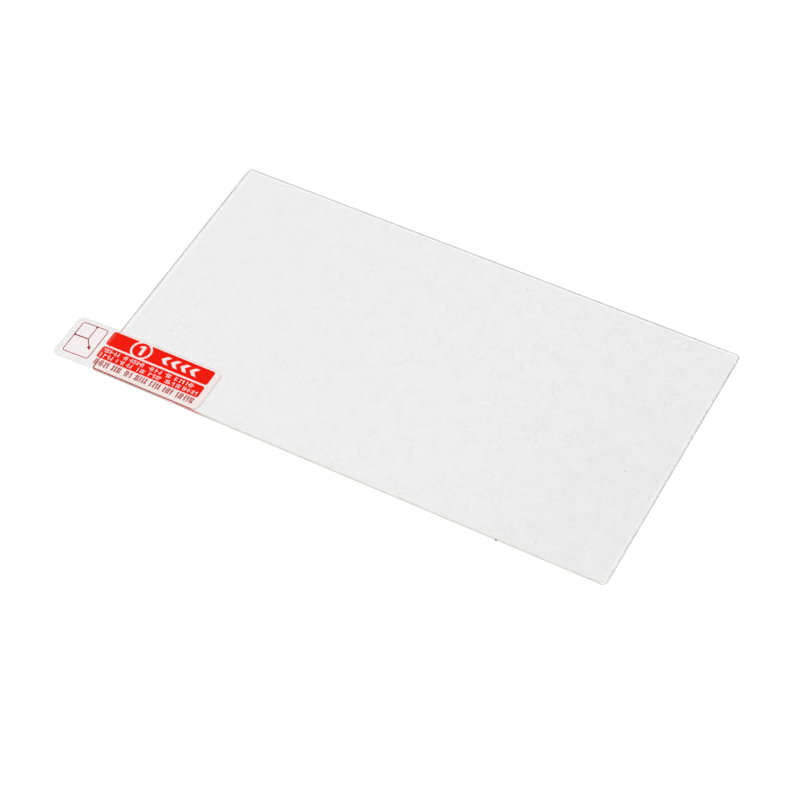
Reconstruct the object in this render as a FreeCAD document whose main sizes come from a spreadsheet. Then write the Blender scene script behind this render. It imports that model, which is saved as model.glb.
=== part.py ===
import FreeCAD, Part
import math
import os
import Sketcher

# Screen protector for the display of a handheld radio transmitter, lying back side up: a toughened
# glass sheet, the release liner over its adhesive back, and the printed pull tab that peels the liner off.
# Millimetres. The origin is the centre of the glass's front face, which lies on the table.
# +X runs along the glass, +Y across it and away from the tab, +Z up.

# Driving sizes: alias, value, meaning
SIZES = [
    ("glass_length", 104, "long side of the glass"),
    ("glass_width", 57, "short side of the glass"),
    ("glass_thickness", 0.4, "glass with its adhesive coat"),
    ("glass_corner_radius", 1.0, "corners of the glass, in plan"),
    ("front_edge_round", 0.24, "ground round on the front edge"),
    ("back_bevel_width", 0.24, "ground bevel on the back edge, across the face"),
    ("back_bevel_depth", 0.1, "ground bevel on the back edge, down the edge"),
    ("liner_thickness", 0.06, "release liner"),
    ("liner_tab_end_inset", 0.9, "liner's end at the tab inside the glass's edge"),
    ("liner_other_end_inset", 0.45, "liner's other end inside the glass's edge"),
    ("liner_far_inset", 0.75, "liner's far side inside the glass's edge"),
    ("liner_near_inset", 0.08, "liner's near side, at the tab, inside the glass's edge"),
    ("liner_corner_radius", 0.7, "corners of the liner, in plan"),
    ("tab_length", 31.2, "pull tab, along the glass"),
    ("tab_width", 10, "pull tab, across the glass"),
    ("tab_thickness", 0.08, "film of the pull tab"),
    ("tab_corner_radius", 1.4, "corners of the pull tab, in plan"),
    ("tab_overhang", 8.6, "free end of the tab past the glass"),
    ("tab_near_reach", 0.1, "tab's long edge past the glass's edge"),
    ("tab_tip_height", 0.03, "underside of the free end over the table"),
    ("ink_thickness", 0.02, "printed ink"),
    ("field_overlap", 0.61, "red fields past the glass, onto the free end"),
    ("field_end_margin", 1.45, "clear film past the fields' other end"),
    ("field_corner_radius", 0.35, "corners of the red fields"),
    ("field_gap", 0.4, "clear line between the two fields"),
    ("title_margin", 0.54, "clear film beyond the title field"),
    ("note_margin", 2.79, "film below the note field, which holds the footer row"),
    ("note_height", 2.84, "note field, across the tab"),
    ("ring_place", 6.82, "ring's centre from the title field's start"),
    ("ring_width", 0.4, "clear line of the ring"),
    ("ring_overshoot", 0.4, "ring past the title field's sides"),
    ("numeral_margin", 0.6, "ink between the numeral and the ring"),
    ("numeral_stem", 0.64, "width of the numeral's stem"),
    ("numeral_flag", 0.5, "reach of the numeral's flag"),
    ("chevron_width", 1.75, "one chevron, along the tab"),
    ("chevron_arm", 0.9, "clear line of a chevron, along the tab"),
    ("chevron_pitch", 2.0, "from one chevron to the next"),
    ("chevron_margin", 0.8, "ink beyond the chevrons' ends"),
    ("chevron_end_margin", 2.8, "ink past the last chevron"),
    ("row_indent", 0.45, "ink before the first word slot of a row"),
    ("row_margin", 0.32, "ink beyond the rows of word slots"),
    ("row_gap", 0.32, "ink between the rows of word slots"),
    ("footer_indent", 0.15, "from the fields' ends to the footer row"),
    ("footer_margin", 1.15, "clear film below the footer row"),
    ("footer_height", 1.38, "footer row, across the tab"),
    ("sign_margin", 1.35, "clear film beside the peeling sign"),
    ("sign_gap", 0.97, "clear film between the sign and the fields"),
    ("sign_near_margin", 1.47, "clear film on the sign's near side"),
    ("sign_far_margin", 0.94, "clear film on the sign's far side"),
    ("sign_corner_radius", 0.6, "corners of the sign's frame"),
    ("sign_line", 0.16, "ink line of the sign"),
    ("sign_square_length", 3.15, "lifted corner drawn in the sign, along the tab"),
    ("sign_square_width", 3.35, "lifted corner drawn in the sign, across the tab"),
    ("arrow_length", 2.8, "arrow of the sign"),
    ("arrow_shaft", 0.24, "width of the arrow's shaft"),
    ("arrow_head_length", 0.95, "head of the arrow"),
    ("arrow_head_width", 0.85, "head of the arrow, across"),
    ("arrow_angle", 54, "slope of the arrow, in degrees"),
]

# Word slots of the two note rows and word bars of the footer row, and the gap between words, in row units
NOTE_ROWS = ((5, 7, 4, 2, 6), (4, 5, 3, 4, 10))
FOOTER_ROWS = ((6, 4, 3, 5, 4, 4, 7),)
WORD_GAP = 1
CHEVRONS = 4

# How much of the glass's thickness its two ground edges may take
MOST_ROUND = 0.6
MOST_BEVEL = 0.25

# Points nearer than this are the same point
TOUCHING = 1e-6

# Heights, as expressions on the sheet
SEAT = "(sizes.glass_thickness + sizes.liner_thickness)"
DROP = f"({SEAT} - sizes.tab_tip_height)"
BEND_RADIUS = f"((sizes.tab_overhang ^ 2 + {DROP} ^ 2) / (2 * {DROP}))"
STENCIL_HEIGHT = f"(2 * ({SEAT} + sizes.tab_thickness + sizes.ink_thickness))"

# Plan of the tab and its print, from the glass corner that the tab lies on
TAB_START = "-sizes.tab_overhang"
TAB_END = "(sizes.tab_length - sizes.tab_overhang)"
TAB_NEAR = "-sizes.tab_near_reach"
TAB_FAR = "(sizes.tab_width - sizes.tab_near_reach)"
FIELD_START = "-sizes.field_overlap"
FIELD_END = f"({TAB_END} - sizes.field_end_margin)"
NOTE_NEAR = f"({TAB_NEAR} + sizes.note_margin)"
NOTE_FAR = f"({NOTE_NEAR} + sizes.note_height)"
TITLE_NEAR = f"({NOTE_FAR} + sizes.field_gap)"
TITLE_FAR = f"({TAB_FAR} - sizes.title_margin)"
TITLE_MIDDLE = f"(({TITLE_NEAR} + {TITLE_FAR}) / 2)"
SIGN_START = f"({TAB_START} + sizes.sign_margin)"
SIGN_END = f"({FIELD_START} - sizes.sign_gap)"
SIGN_NEAR = f"({TAB_NEAR} + sizes.sign_near_margin)"
SIGN_FAR = f"({TAB_FAR} - sizes.sign_far_margin)"

doc = FreeCAD.newDocument("screen_protector")


# Spreadsheet
def make_sheet():
    sheet = doc.addObject("Spreadsheet::Sheet", "sizes")
    for row, (alias, value, meaning) in enumerate(SIZES, start=1):
        sheet.set(f"A{row}", meaning)
        sheet.set(f"B{row}", str(value))
        sheet.setAlias(f"B{row}", alias)
    doc.recompute()
    return sheet


sizes = make_sheet()


def value(expression):
    return float(sizes.evalExpression(expression))


# Bodies and sketches
def new_body(name):
    body = doc.addObject("PartDesign::Body", name)
    body.Label = name
    return body


def place_at_tab_corner(feature):
    """Puts a plan drawn from the tab's glass corner where that corner is."""
    feature.setExpression("Placement.Base.x", "-sizes.glass_length / 2")
    feature.setExpression("Placement.Base.y", "-sizes.glass_width / 2")


def sketch_on(body, name, role):
    plane = next(f for f in body.Origin.OriginFeatures if f.Role == role)
    sketch = body.newObject("Sketcher::SketchObject", name)
    sketch.AttachmentSupport = [(plane, "")]
    sketch.MapMode = "FlatFace"
    return sketch


def constrain(sketch, kind, *places, size=None):
    """Adds one constraint, bound to the expression in size if there is one."""
    if size is None:
        sketch.addConstraint(Sketcher.Constraint(kind, *places))
        return
    index = sketch.addConstraint(Sketcher.Constraint(kind, *places, value(size)))
    sketch.setExpression(f"Constraints[{index}]", size)


# Numbers that a sketch gives to a line's or arc's points, and to its own two axes
START, END, CENTRE = range(1, 4)
UPRIGHT_AXIS, LEVEL_AXIS = range(-2, 0)
ORIGIN = (LEVEL_AXIS, START)


def polygon(sketch, corners):
    """Draws straight lines through corners, each an (x, y) pair of expressions."""
    points = [FreeCAD.Vector(value(x), value(y), 0) for x, y in corners]
    first = sketch.GeometryCount
    count = len(points)
    for i in range(count):
        sketch.addGeometry(Part.LineSegment(points[i], points[(i + 1) % count]))
    for i, (x, y) in enumerate(corners):
        line = first + i
        following = first + (i + 1) % count
        constrain(sketch, "Coincident", line, END, following, START)
        constrain(sketch, "DistanceX", *ORIGIN, line, START, size=x)
        constrain(sketch, "DistanceY", *ORIGIN, line, START, size=y)


def rectangle(sketch, start, near, end, far):
    polygon(sketch, [(start, near), (end, near), (end, far), (start, far)])


def circle(sketch, x, y, radius):
    centre = FreeCAD.Vector(value(x), value(y), 0)
    index = sketch.addGeometry(Part.Circle(centre, FreeCAD.Vector(0, 0, 1), value(radius)))
    constrain(sketch, "DistanceX", *ORIGIN, index, CENTRE, size=x)
    constrain(sketch, "DistanceY", *ORIGIN, index, CENTRE, size=y)
    constrain(sketch, "Radius", index, size=radius)


# Features
def pad(body, sketch, height):
    feature = body.newObject("PartDesign::Pad", sketch.Name + "_pad")
    feature.Profile = sketch
    feature.setExpression("Length", height)
    doc.recompute()
    return feature


def cut_through(body, sketch):
    """Cuts a sketch of the XY plane up through the whole body."""
    before = body.Shape.Volume
    feature = body.newObject("PartDesign::Pocket", sketch.Name + "_cut")
    feature.Profile = sketch
    feature.Type = "ThroughAll"
    feature.Reversed = True
    doc.recompute()
    if not feature.Shape.Volume < before:
        raise RuntimeError(f"{feature.Name} cuts nothing")
    return feature


def edge_names(feature, chosen):
    """Names of the feature's edges whose two ends pass the test."""
    names = []
    for number, edge in enumerate(feature.Shape.Edges, start=1):
        ends = [vertex.Point for vertex in edge.Vertexes]
        if chosen(ends):
            names.append(f"Edge{number}")
    return names


def upright(ends):
    return len(ends) == 2 and abs(ends[0].z - ends[1].z) > math.hypot(ends[0].x - ends[1].x, ends[0].y - ends[1].y)


def at_height(height):
    return lambda ends: all(abs(point.z - height) < TOUCHING for point in ends)


def dress(body, kind, name, edges, property_name, size):
    """Adds a fillet or a chamfer on the named edges of the body's last feature."""
    base = body.Tip
    feature = body.newObject(f"PartDesign::{kind}", name)
    feature.Base = (base, edges)
    feature.setExpression(property_name, size)
    doc.recompute()
    return feature


def round_corners(body, name, radius):
    dress(body, "Fillet", name, edge_names(body.Tip, upright), "Radius", radius)


def round_corners_at(body, name, radius, sides, ends):
    """Rounds the four upright edges where the sides (x) and the ends (y) meet."""
    corners = [FreeCAD.Vector(value(x), value(y), 0) for x in sides for y in ends]

    def at_corner(points):
        return upright(points) and any(points[0].distanceToPoint(corner) < TOUCHING for corner in corners)

    dress(body, "Fillet", name, edge_names(body.Tip, at_corner), "Radius", radius)


def rounded_plate(name, half_length, half_width, height, radius):
    """A flat plate about the origin with rounded corners."""
    body = new_body(name)
    outline = sketch_on(body, name + "_outline", "XY_Plane")
    rectangle(outline, f"-{half_length}", f"-{half_width}", half_length, half_width)
    pad(body, outline, height)
    round_corners(body, name + "_corners", radius)
    return body


# Glass: rounded corners, a ground round on the front edge below, a flat bevel on the back edge above
def make_glass():
    glass = rounded_plate(
        "screen_glass",
        "(sizes.glass_length / 2)",
        "(sizes.glass_width / 2)",
        "sizes.glass_thickness",
        "sizes.glass_corner_radius",
    )
    front = edge_names(glass.Tip, at_height(0))
    front_round = f"min(sizes.front_edge_round; {MOST_ROUND} * sizes.glass_thickness)"
    dress(glass, "Fillet", "front_edge", front, "Radius", front_round)
    back = edge_names(glass.Tip, at_height(value("sizes.glass_thickness")))
    bevel_depth = f"min(sizes.back_bevel_depth; {MOST_BEVEL} * sizes.glass_thickness)"
    bevel = dress(glass, "Chamfer", "back_edge", back, "Size", bevel_depth)
    bevel.ChamferType = "Two distances"
    bevel.setExpression("Size2", "sizes.back_bevel_width")
    doc.recompute()
    return glass


# Release liner: a film a little smaller than the glass, on its back
def make_liner():
    liner = rounded_plate(
        "release_liner",
        "((sizes.glass_length - sizes.liner_tab_end_inset - sizes.liner_other_end_inset) / 2)",
        "((sizes.glass_width - sizes.liner_far_inset - sizes.liner_near_inset) / 2)",
        "sizes.liner_thickness",
        "sizes.liner_corner_radius",
    )
    liner.setExpression("Placement.Base.x", "(sizes.liner_tab_end_inset - sizes.liner_other_end_inset) / 2")
    liner.setExpression("Placement.Base.y", "(sizes.liner_near_inset - sizes.liner_far_inset) / 2")
    liner.setExpression("Placement.Base.z", "sizes.glass_thickness")
    return liner


# Bent skins: flat on the liner, then one arc down past the glass edge to the table
def bent_skin(name, below, thickness):
    """A skin over the tab's whole plan, raised by below, whose bend is concentric with the film's."""
    body = new_body(name)
    sketch = sketch_on(body, name + "_profile", "XZ_Plane")
    low = value(f"{SEAT} + {below}")
    high = value(f"{SEAT} + {below} + {thickness}")
    start = value(TAB_START)
    end = value(TAB_END)
    inner = value(f"{BEND_RADIUS} + {below}")
    outer = value(f"{BEND_RADIUS} + {below} + {thickness}")
    centre = FreeCAD.Vector(0, low - inner, 0)
    quarter = math.pi / 2

    def arc(radius):
        turn = math.asin(-start / radius)
        bend = Part.Circle(centre, FreeCAD.Vector(0, 0, 1), radius)
        return Part.ArcOfCircle(bend, quarter, quarter + turn)

    def tip(radius):
        return FreeCAD.Vector(start, centre.y + math.sqrt(radius**2 - start**2), 0)

    def point(x, z):
        return FreeCAD.Vector(x, z, 0)

    bottom = sketch.addGeometry(Part.LineSegment(point(end, low), point(0, low)))
    under = sketch.addGeometry(arc(inner))
    tip_face = sketch.addGeometry(Part.LineSegment(tip(inner), tip(outer)))
    over = sketch.addGeometry(arc(outer))
    top = sketch.addGeometry(Part.LineSegment(point(0, high), point(end, high)))
    end_face = sketch.addGeometry(Part.LineSegment(point(end, high), point(end, low)))
    constrain(sketch, "Coincident", bottom, END, under, START)
    constrain(sketch, "Coincident", under, END, tip_face, START)
    constrain(sketch, "Coincident", tip_face, END, over, END)
    constrain(sketch, "Coincident", over, START, top, START)
    constrain(sketch, "Coincident", top, END, end_face, START)
    constrain(sketch, "Coincident", end_face, END, bottom, START)
    constrain(sketch, "Coincident", under, CENTRE, over, CENTRE)
    for line in (bottom, top):
        constrain(sketch, "Horizontal", line)
    for line in (tip_face, end_face):
        constrain(sketch, "Vertical", line)
    for place in ((under, START), (under, CENTRE), (over, START)):
        constrain(sketch, "PointOnObject", *place, UPRIGHT_AXIS)
    constrain(sketch, "Radius", under, size=f"{BEND_RADIUS} + {below}")
    constrain(sketch, "Radius", over, size=f"{BEND_RADIUS} + {below} + {thickness}")
    constrain(sketch, "DistanceY", *ORIGIN, under, START, size=f"{SEAT} + {below}")
    constrain(sketch, "DistanceX", *ORIGIN, under, END, size=TAB_START)
    constrain(sketch, "DistanceX", *ORIGIN, bottom, START, size=TAB_END)
    across = pad(body, sketch, f"2 * {TAB_FAR}")
    across.Midplane = True
    place_at_tab_corner(body)
    return body


def stencil(name):
    """A body for an upright prism drawn in the tab's plan."""
    body = new_body(name)
    place_at_tab_corner(body)
    return body


def common(name, skin, plan):
    """The part of a bent skin that stands over a plan."""
    piece = doc.addObject("Part::Common", name)
    piece.Label = name
    piece.Base = skin
    piece.Tool = plan
    return piece


# Pull tab: a bent film with rounded corners
def make_tab():
    plan = stencil("tab_plan")
    outline = sketch_on(plan, "tab_outline", "XY_Plane")
    rectangle(outline, TAB_START, TAB_NEAR, TAB_END, TAB_FAR)
    pad(plan, outline, STENCIL_HEIGHT)
    round_corners(plan, "tab_corners", "sizes.tab_corner_radius")
    film = bent_skin("tab_film", "0", "sizes.tab_thickness")
    return common("pull_tab", film, plan)


# Print: red fields with clear marks, a footer row of word bars and the peeling sign
def red_field(name, near, far):
    plan = stencil(name)
    outline = sketch_on(plan, name + "_outline", "XY_Plane")
    rectangle(outline, FIELD_START, near, FIELD_END, far)
    pad(plan, outline, STENCIL_HEIGHT)
    round_corners(plan, name + "_corners", "sizes.field_corner_radius")
    return plan


def numeral_one(sketch, x, middle, half_height):
    """A plain numeral: a stem with a short flag at its top."""
    stem_right = f"({x} + (sizes.numeral_stem + sizes.numeral_flag) / 2)"
    stem_left = f"({stem_right} - sizes.numeral_stem)"
    flag_left = f"({stem_left} - sizes.numeral_flag)"
    top = f"({middle} + {half_height})"
    foot = f"({middle} - {half_height})"
    polygon(
        sketch,
        [
            (stem_left, foot),
            (stem_right, foot),
            (stem_right, top),
            (stem_left, top),
            (flag_left, f"{top} - sizes.numeral_flag / 2"),
            (flag_left, f"{top} - sizes.numeral_flag / 2 - sizes.numeral_stem * 3 / 4"),
            (stem_left, f"{top} - sizes.numeral_stem * 3 / 4"),
        ],
    )


def title_field():
    """The field with a ringed numeral and a row of chevrons that point to the free end."""
    plan = red_field("title_field", TITLE_NEAR, TITLE_FAR)
    ring_x = f"({FIELD_START} + sizes.ring_place)"
    ring_radius = f"(({TITLE_FAR} - {TITLE_NEAR}) / 2 + sizes.ring_overshoot)"
    ring = sketch_on(plan, "title_ring", "XY_Plane")
    circle(ring, ring_x, TITLE_MIDDLE, ring_radius)
    circle(ring, ring_x, TITLE_MIDDLE, f"{ring_radius} - sizes.ring_width")
    numeral_one(ring, ring_x, TITLE_MIDDLE, f"({ring_radius} - sizes.ring_width - sizes.numeral_margin)")
    cut_through(plan, ring)

    row_end = f"({FIELD_END} - sizes.chevron_end_margin)"
    tail = f"({row_end} - {CHEVRONS - 1} * sizes.chevron_pitch)"
    tip = f"({tail} - sizes.chevron_width)"
    near = f"({TITLE_NEAR} + sizes.chevron_margin)"
    far = f"({TITLE_FAR} - sizes.chevron_margin)"
    chevron = sketch_on(plan, "chevron", "XY_Plane")
    polygon(
        chevron,
        [
            (tip, TITLE_MIDDLE),
            (f"{tail} - sizes.chevron_arm", near),
            (tail, near),
            (f"{tip} + sizes.chevron_arm", TITLE_MIDDLE),
            (tail, far),
            (f"{tail} - sizes.chevron_arm", far),
        ],
    )
    first = cut_through(plan, chevron)
    row = plan.newObject("PartDesign::LinearPattern", "chevron_row")
    row.Originals = [first]
    row.Direction = (chevron, ["H_Axis"])
    row.Mode = "Spacing"
    row.setExpression("Offset", "sizes.chevron_pitch")
    row.Occurrences = CHEVRONS
    plan.Tip = row
    doc.recompute()
    return plan


def word_rows(sketch, rows, indent, far, height, gap):
    """Rows of one rectangle for each word, the longest row along the fields' whole length."""
    longest = max(sum(words) + WORD_GAP * (len(words) - 1) for words in rows)
    unit = f"({FIELD_END} - ({FIELD_START}) - 2 * {indent}) / {longest}"
    for words in rows:
        near = f"({far} - {height})"
        at = 0
        for letters in words:
            start = f"{FIELD_START} + {indent} + {at} * {unit}"
            end = f"{FIELD_START} + {indent} + {at + letters} * {unit}"
            rectangle(sketch, start, near, end, far)
            at += letters + WORD_GAP
        far = f"({near} - {gap})"


def note_field():
    """The field with two rows of word slots."""
    plan = red_field("note_field", NOTE_NEAR, NOTE_FAR)
    height = "((sizes.note_height - 2 * sizes.row_margin - sizes.row_gap) / 2)"
    slots = sketch_on(plan, "note_slots", "XY_Plane")
    far = f"({NOTE_FAR} - sizes.row_margin)"
    word_rows(slots, NOTE_ROWS, "sizes.row_indent", far, height, "sizes.row_gap")
    cut_through(plan, slots)
    return plan


def footer_row():
    """A row of word bars on the clear film below the fields."""
    plan = stencil("footer_row")
    bars = sketch_on(plan, "footer_bars", "XY_Plane")
    far = f"({TAB_NEAR} + sizes.footer_margin + sizes.footer_height)"
    word_rows(bars, FOOTER_ROWS, "sizes.footer_indent", far, "sizes.footer_height", "sizes.row_gap")
    pad(plan, bars, STENCIL_HEIGHT)
    return plan


def peeling_sign():
    """A line drawing on the free end: a sheet with a lifted corner and an arrow out of it."""
    plan = stencil("peeling_sign")
    line = "sizes.sign_line"
    frame = sketch_on(plan, "sign_frame", "XY_Plane")
    rectangle(frame, SIGN_START, SIGN_NEAR, SIGN_END, SIGN_FAR)
    pad(plan, frame, STENCIL_HEIGHT)
    left, right = f"({SIGN_START} + {line})", f"({SIGN_END} - {line})"
    near, far = f"({SIGN_NEAR} + {line})", f"({SIGN_FAR} - {line})"
    inside = sketch_on(plan, "sign_inside", "XY_Plane")
    rectangle(inside, left, near, right, far)
    cut_through(plan, inside)
    round_corners_at(plan, "sign_inner_corners", f"sizes.sign_corner_radius - {line}", (left, right), (near, far))
    round_corners_at(
        plan, "sign_outer_corners", "sizes.sign_corner_radius", (SIGN_START, SIGN_END), (SIGN_NEAR, SIGN_FAR)
    )

    corner_x = f"({SIGN_START} + sizes.sign_square_length)"
    corner_y = f"({SIGN_FAR} - sizes.sign_square_width)"
    lifted = sketch_on(plan, "sign_lifted_corner", "XY_Plane")
    polygon(
        lifted,
        [
            (f"{SIGN_START} + {line} / 2", f"({corner_y} - {line} / 2)"),
            (f"({corner_x} + {line} / 2)", f"({corner_y} - {line} / 2)"),
            (f"({corner_x} + {line} / 2)", f"{SIGN_FAR} - {line} / 2"),
            (f"({corner_x} - {line} / 2)", f"{SIGN_FAR} - {line} / 2"),
            (f"({corner_x} - {line} / 2)", f"({corner_y} + {line} / 2)"),
            (f"{SIGN_START} + {line} / 2", f"({corner_y} + {line} / 2)"),
        ],
    )
    pad(plan, lifted, STENCIL_HEIGHT)

    def along(distance, side):
        """A point that far along the arrow and to its side."""
        x = f"{corner_x} + {distance} * cos(sizes.arrow_angle) + {side} * sin(sizes.arrow_angle)"
        y = f"{corner_y} - {distance} * sin(sizes.arrow_angle) + {side} * cos(sizes.arrow_angle)"
        return x, y

    half_shaft = "sizes.arrow_shaft / 2"
    half_head = "sizes.arrow_head_width / 2"
    neck = "(sizes.arrow_length - sizes.arrow_head_length)"
    arrow = sketch_on(plan, "sign_arrow", "XY_Plane")
    polygon(
        arrow,
        [
            along("0", f"-{half_shaft}"),
            along(neck, f"-{half_shaft}"),
            along(neck, f"-{half_head}"),
            along("sizes.arrow_length", "0"),
            along(neck, half_head),
            along(neck, half_shaft),
            along("0", half_shaft),
        ],
    )
    pad(plan, arrow, STENCIL_HEIGHT)
    return plan


def make_print():
    marks = doc.addObject("Part::Compound", "print_plan")
    marks.Links = [title_field(), note_field(), footer_row(), peeling_sign()]
    ink = bent_skin("tab_ink", "sizes.tab_thickness", "sizes.ink_thickness")
    return common("tab_print", ink, marks)


# Build, check and write
def check(feature):
    if {"Invalid", "Error"} & set(feature.State):
        raise RuntimeError(f"{feature.Name} failed: {feature.State}")


pieces = [make_glass(), make_liner(), make_tab(), make_print()]
doc.recompute()
for feature in doc.Objects:
    check(feature)
os.makedirs("parts", exist_ok=True)
for piece in pieces:
    if piece.Shape.isNull() or not piece.Shape.isValid():
        raise RuntimeError(f"{piece.Label} has no valid shape")
    piece.Shape.exportStep(f"parts/{piece.Label}.step")
    box = piece.Shape.BoundBox
    print(
        f"{piece.Label}: {len(piece.Shape.Solids)} solids, {piece.Shape.Volume:.3f} mm3, "
        f"x {box.XMin:.2f} to {box.XMax:.2f}, y {box.YMin:.2f} to {box.YMax:.2f}, z {box.ZMin:.3f} to {box.ZMax:.3f}"
    )
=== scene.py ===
import math
import random

import bmesh
import bpy
from mathutils import Matrix, Vector


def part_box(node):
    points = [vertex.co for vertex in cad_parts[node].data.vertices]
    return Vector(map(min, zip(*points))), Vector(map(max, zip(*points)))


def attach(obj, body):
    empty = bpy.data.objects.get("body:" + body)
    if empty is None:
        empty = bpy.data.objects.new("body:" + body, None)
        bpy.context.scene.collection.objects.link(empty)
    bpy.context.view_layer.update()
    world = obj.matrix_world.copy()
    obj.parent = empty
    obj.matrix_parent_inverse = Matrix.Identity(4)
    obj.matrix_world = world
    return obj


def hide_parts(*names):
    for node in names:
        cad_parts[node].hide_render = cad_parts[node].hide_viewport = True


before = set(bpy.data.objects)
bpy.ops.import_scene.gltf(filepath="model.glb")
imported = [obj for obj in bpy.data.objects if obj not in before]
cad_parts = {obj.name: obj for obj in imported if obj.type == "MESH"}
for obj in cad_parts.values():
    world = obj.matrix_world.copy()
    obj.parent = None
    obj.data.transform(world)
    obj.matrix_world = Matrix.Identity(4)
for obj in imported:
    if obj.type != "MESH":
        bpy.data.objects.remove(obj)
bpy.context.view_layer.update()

# Looks of the screen protector: a glass sheet lying back side up, its release liner and
# its printed pull tab. Sizes are in millimetres, as in the part's source, and become
# metres when a mesh is made. Plan points of the tab are measured from the glass corner
# that the tab lies on.

MM = 0.001

glass_low, glass_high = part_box("screen_glass")
liner_low, liner_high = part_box("release_liner")
tab_low, tab_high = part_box("pull_tab")
print_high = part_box("tab_print")[1]

# Glass
HALF_LENGTH = (glass_high.x - glass_low.x) / 2 / MM
HALF_WIDTH = (glass_high.y - glass_low.y) / 2 / MM
LENGTH = 2 * HALF_LENGTH
GLASS_TOP = glass_high.z / MM
GLASS_CORNER = 1.0
END_ROUND_WIDTH = 0.38
SIDE_ROUND_WIDTH = 0.2
FRONT_ROUND_HEIGHT = 0.24
BEVEL_WIDTH = 0.24
BEVEL_HEIGHT = 0.1
CORNER_STEPS = 14
ROUND_STEPS = 8
BEVEL_STEPS = 3

# Liner
LINER_CORNER = 0.7
LINER_EDGE = 0.02

# Air between layers that touch, so that no two see-through faces lie in one place
AIR = 0.004

# Pull tab, in plan and in section
SEAT = liner_high.z / MM
TAB_THICKNESS = tab_high.z / MM - SEAT
INK_THICKNESS = print_high.z / MM - tab_high.z / MM
TAB_START = tab_low.x / MM + HALF_LENGTH
TAB_END = tab_high.x / MM + HALF_LENGTH
TAB_NEAR = tab_low.y / MM + HALF_WIDTH
TAB_FAR = tab_high.y / MM + HALF_WIDTH
TAB_CORNER = 1.4
TIP_HEIGHT = tab_low.z / MM
DROP = SEAT - TIP_HEIGHT
BEND_RADIUS = (TAB_START**2 + DROP**2) / (2 * DROP)
BEND_STEP = 0.35

# The tab was stuck on a little askew, turned about the middle of its free end
TAB_TURN = math.radians(0.38)
TAB_SHIFT = -0.05
TURN_X = TAB_START / 2
TURN_Y = (TAB_NEAR + TAB_FAR) / 2

# Fields of the print, in plan
FIELD_START = -0.61
FIELD_END = TAB_END - 1.45
FIELD_CORNER = 0.48
NOTE_NEAR = TAB_NEAR + 2.79
NOTE_FAR = NOTE_NEAR + 2.84
TITLE_NEAR = NOTE_FAR + 0.4
TITLE_FAR = TAB_FAR - 0.54
TITLE_MIDDLE = (TITLE_NEAR + TITLE_FAR) / 2
RING_X = FIELD_START + 6.82
RING_RADIUS = (TITLE_FAR - TITLE_NEAR) / 2 + 0.4
RING_WIDTH = 0.4
RING_STEPS = 40
NUMERAL_MARGIN = 0.6
NUMERAL_STEM = 0.64
NUMERAL_FLAG = 0.5
NUMERAL_FLAG_SLOPE = 0.5
NUMERAL_FLAG_DEPTH = 0.75 * NUMERAL_STEM
CHEVRONS = 4
CHEVRON_WIDTH = 1.75
CHEVRON_ARM = 0.9
CHEVRON_PITCH = 2.0
CHEVRON_MARGIN = 0.8
CHEVRON_END = FIELD_END - 2.8

# Rows of plain marks: how many stand in each group, and the units in a row
ROW_INDENT = 0.45
ROW_MARGIN = 0.32
ROW_GAP = 0.32
NOTE_ROWS = ((5, 7, 4, 2, 6), (4, 5, 3, 4, 10))
NOTE_UNITS = 30
NOTE_STROKE = 0.18
FOOTER_ROW = (6, 4, 3, 5, 4, 4, 7)
FOOTER_UNITS = 39
FOOTER_STROKE = 0.23
FOOTER_INDENT = 0.15
FOOTER_NEAR = TAB_NEAR + 1.15
FOOTER_FAR = FOOTER_NEAR + 1.38
MARK_DASHES = ((), (0.22,), (0.5,), (0.78,), (0.18, 0.82))
MARK_REACH = 0.37
MARK_GAP = 0.06
LEFT_STEMS = 0.5

# Sign on the free end
SIGN_START = TAB_START + 1.35
SIGN_END = FIELD_START - 0.97
SIGN_NEAR = TAB_NEAR + 1.47
SIGN_FAR = TAB_FAR - 0.94
SIGN_CORNER = 0.6
SIGN_LINE = 0.16
SIGN_LEVEL_LINE = 0.24
SIGN_BLOT = 0.24
SIGN_SQUARE_LENGTH = 3.15
SIGN_SQUARE_WIDTH = 3.35
SIGN_CORNER_X = SIGN_START + SIGN_SQUARE_LENGTH
SIGN_CORNER_Y = SIGN_FAR - SIGN_SQUARE_WIDTH
ARROW_LENGTH = 2.8
ARROW_SHAFT = 0.2
ARROW_HEAD_LENGTH = 0.95
ARROW_HEAD_WIDTH = 0.85
ARROW_ANGLE = math.radians(54)


# Outlines
def arc(x, y, radius, start, end, steps):
    """Points on an arc, with its angles in degrees."""
    angles = [math.radians(start + (end - start) * i / steps) for i in range(steps + 1)]
    return [(x + radius * math.cos(a), y + radius * math.sin(a)) for a in angles]


def quarter(x, y, radius, start):
    """A quarter circle."""
    return arc(x, y, radius, start, start + 90, CORNER_STEPS)


def rounded_box(left, near, right, far, radius):
    """A rectangle with rounded corners, anticlockwise."""
    points = quarter(right - radius, near + radius, radius, 270)
    points += quarter(right - radius, far - radius, radius, 0)
    points += quarter(left + radius, far - radius, radius, 90)
    points += quarter(left + radius, near + radius, radius, 180)
    return points


def box(left, near, right, far):
    return [(left, near), (right, near), (right, far), (left, far)]


# Meshes
def new_piece(name, bm, slot, *replaced):
    """Makes an object of a mesh in millimetres, and has it ride on the part's one body."""
    bmesh.ops.recalc_face_normals(bm, faces=bm.faces)
    mesh = bpy.data.meshes.new(name)
    bm.to_mesh(mesh)
    bm.free()
    mesh.transform(Matrix.Scale(MM, 4))
    piece = bpy.data.objects.new(name, mesh)
    bpy.context.scene.collection.objects.link(piece)
    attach(piece, "root")
    if replaced:
        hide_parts(*replaced)
    return piece


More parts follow.
